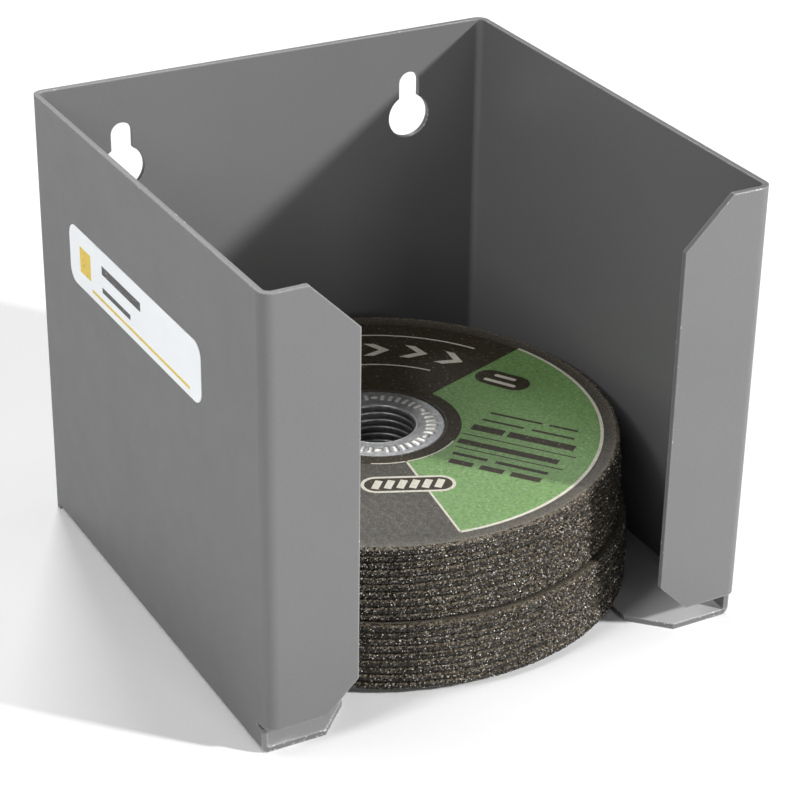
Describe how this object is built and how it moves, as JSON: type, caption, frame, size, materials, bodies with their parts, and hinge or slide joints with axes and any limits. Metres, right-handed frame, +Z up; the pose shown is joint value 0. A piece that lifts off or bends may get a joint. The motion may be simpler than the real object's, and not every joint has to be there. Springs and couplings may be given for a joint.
{
  "type": "cut-off wheel dispenser",
  "caption": "Folded sheet-steel box, open at the top and front, with return flanges, foot flanges and wall keyholes, holding a stack of thin cut-off wheels.",
  "frame": {"origin": "middle of the underside, on the surface the foot flanges stand on", "axes": "+Z up, +Y towards the wall that the back hangs on, -Y out of the open front, +X to the right seen from the front"},
  "size_m": [0.1063, 0.108, 0.096],
  "materials": {
    "grey_powder_coat": "satin grey powder coat on folded sheet steel",
    "white_vinyl": "white printed vinyl sticker",
    "abrasive": "resin-bonded abrasive with a printed green and black face",
    "pressed_steel": "pressed bright steel of the wheels' arbor rings"
  },
  "bodies": {
    "housing": {"housing": "grey_powder_coat", "side_sticker": "white_vinyl"},
    "wheel_01": {"wheel_01": "abrasive"},
    "wheel_02": {"wheel_02": "abrasive"},
    "wheel_03": {"wheel_03": "abrasive"},
    "wheel_04": {"wheel_04": "abrasive"},
    "wheel_05": {"wheel_05": "abrasive"},
    "wheel_06": {"wheel_06": "abrasive"},
    "wheel_07": {"wheel_07": "abrasive"},
    "wheel_08": {"wheel_08": "abrasive"},
    "wheel_09": {"wheel_09": "abrasive"},
    "wheel_10": {"wheel_10": "abrasive"},
    "wheel_11": {"wheel_11": "abrasive"},
    "wheel_12": {"wheel_12": "abrasive"},
    "wheel_13": {"wheel_13": "abrasive"},
    "wheel_14": {"wheel_14": "abrasive"},
    "wheel_15": {"wheel_15": "abrasive"},
    "wheel_16": {"wheel_16": "abrasive"},
    "wheel_17": {"wheel_17": "abrasive"},
    "wheel_18": {"wheel_18": "abrasive"},
    "wheel_19": {"wheel_19": "abrasive"}
  },
  "joints": [
    {"name": "wheel_01_draw_out", "type": "slide", "parent": "housing", "child": "wheel_01", "axis": [0, -1, 0], "range_m": [0, 0.106]},
    {"name": "wheel_02_lift_out", "type": "slide", "parent": "housing", "child": "wheel_02", "axis": [0, 0, 1], "range_m": [0, 0.0982]},
    {"name": "wheel_03_lift_out", "type": "slide", "parent": "wheel_02", "child": "wheel_03", "axis": [0, 0, 1], "range_m": [0, 0.0965]},
    {"name": "wheel_04_lift_out", "type": "slide", "parent": "wheel_03", "child": "wheel_04", "axis": [0, 0, 1], "range_m": [0, 0.0948]},
    {"name": "wheel_05_lift_out", "type": "slide", "parent": "wheel_04", "child": "wheel_05", "axis": [0, 0, 1], "range_m": [0, 0.0932]},
    {"name": "wheel_06_lift_out", "type": "slide", "parent": "wheel_05", "child": "wheel_06", "axis": [0, 0, 1], "range_m": [0, 0.0915]},
    {"name": "wheel_07_lift_out", "type": "slide", "parent": "wheel_06", "child": "wheel_07", "axis": [0, 0, 1], "range_m": [0, 0.0899]},
    {"name": "wheel_08_lift_out", "type": "slide", "parent": "wheel_07", "child": "wheel_08", "axis": [0, 0, 1], "range_m": [0, 0.0882]},
    {"name": "wheel_09_lift_out", "type": "slide", "parent": "wheel_08", "child": "wheel_09", "axis": [0, 0, 1], "range_m": [0, 0.0866]},
    {"name": "wheel_10_lift_out", "type": "slide", "parent": "wheel_09", "child": "wheel_10", "axis": [0, 0, 1], "range_m": [0, 0.0849]},
    {"name": "wheel_11_lift_out", "type": "slide", "parent": "wheel_10", "child": "wheel_11", "axis": [0, 0, 1], "range_m": [0, 0.0833]},
    {"name": "wheel_12_lift_out", "type": "slide", "parent": "wheel_11", "child": "wheel_12", "axis": [0, 0, 1], "range_m": [0, 0.0817]},
    {"name": "wheel_13_lift_out", "type": "slide", "parent": "wheel_12", "child": "wheel_13", "axis": [0, 0, 1], "range_m": [0, 0.08]},
    {"name": "wheel_14_lift_out", "type": "slide", "parent": "wheel_13", "child": "wheel_14", "axis": [0, 0, 1], "range_m": [0, 0.0783]},
    {"name": "wheel_15_lift_out", "type": "slide", "parent": "wheel_14", "child": "wheel_15", "axis": [0, 0, 1], "range_m": [0, 0.0767]},
    {"name": "wheel_16_lift_out", "type": "slide", "parent": "wheel_15", "child": "wheel_16", "axis": [0, 0, 1], "range_m": [0, 0.075]},
    {"name": "wheel_17_lift_out", "type": "slide", "parent": "wheel_16", "child": "wheel_17", "axis": [0, 0, 1], "range_m": [0, 0.0734]},
    {"name": "wheel_18_lift_out", "type": "slide", "parent": "wheel_17", "child": "wheel_18", "axis": [0, 0, 1], "range_m": [0, 0.0717]},
    {"name": "wheel_19_lift_out", "type": "slide", "parent": "wheel_18", "child": "wheel_19", "axis": [0, 0, 1], "range_m": [0, 0.0701]}
  ]
}
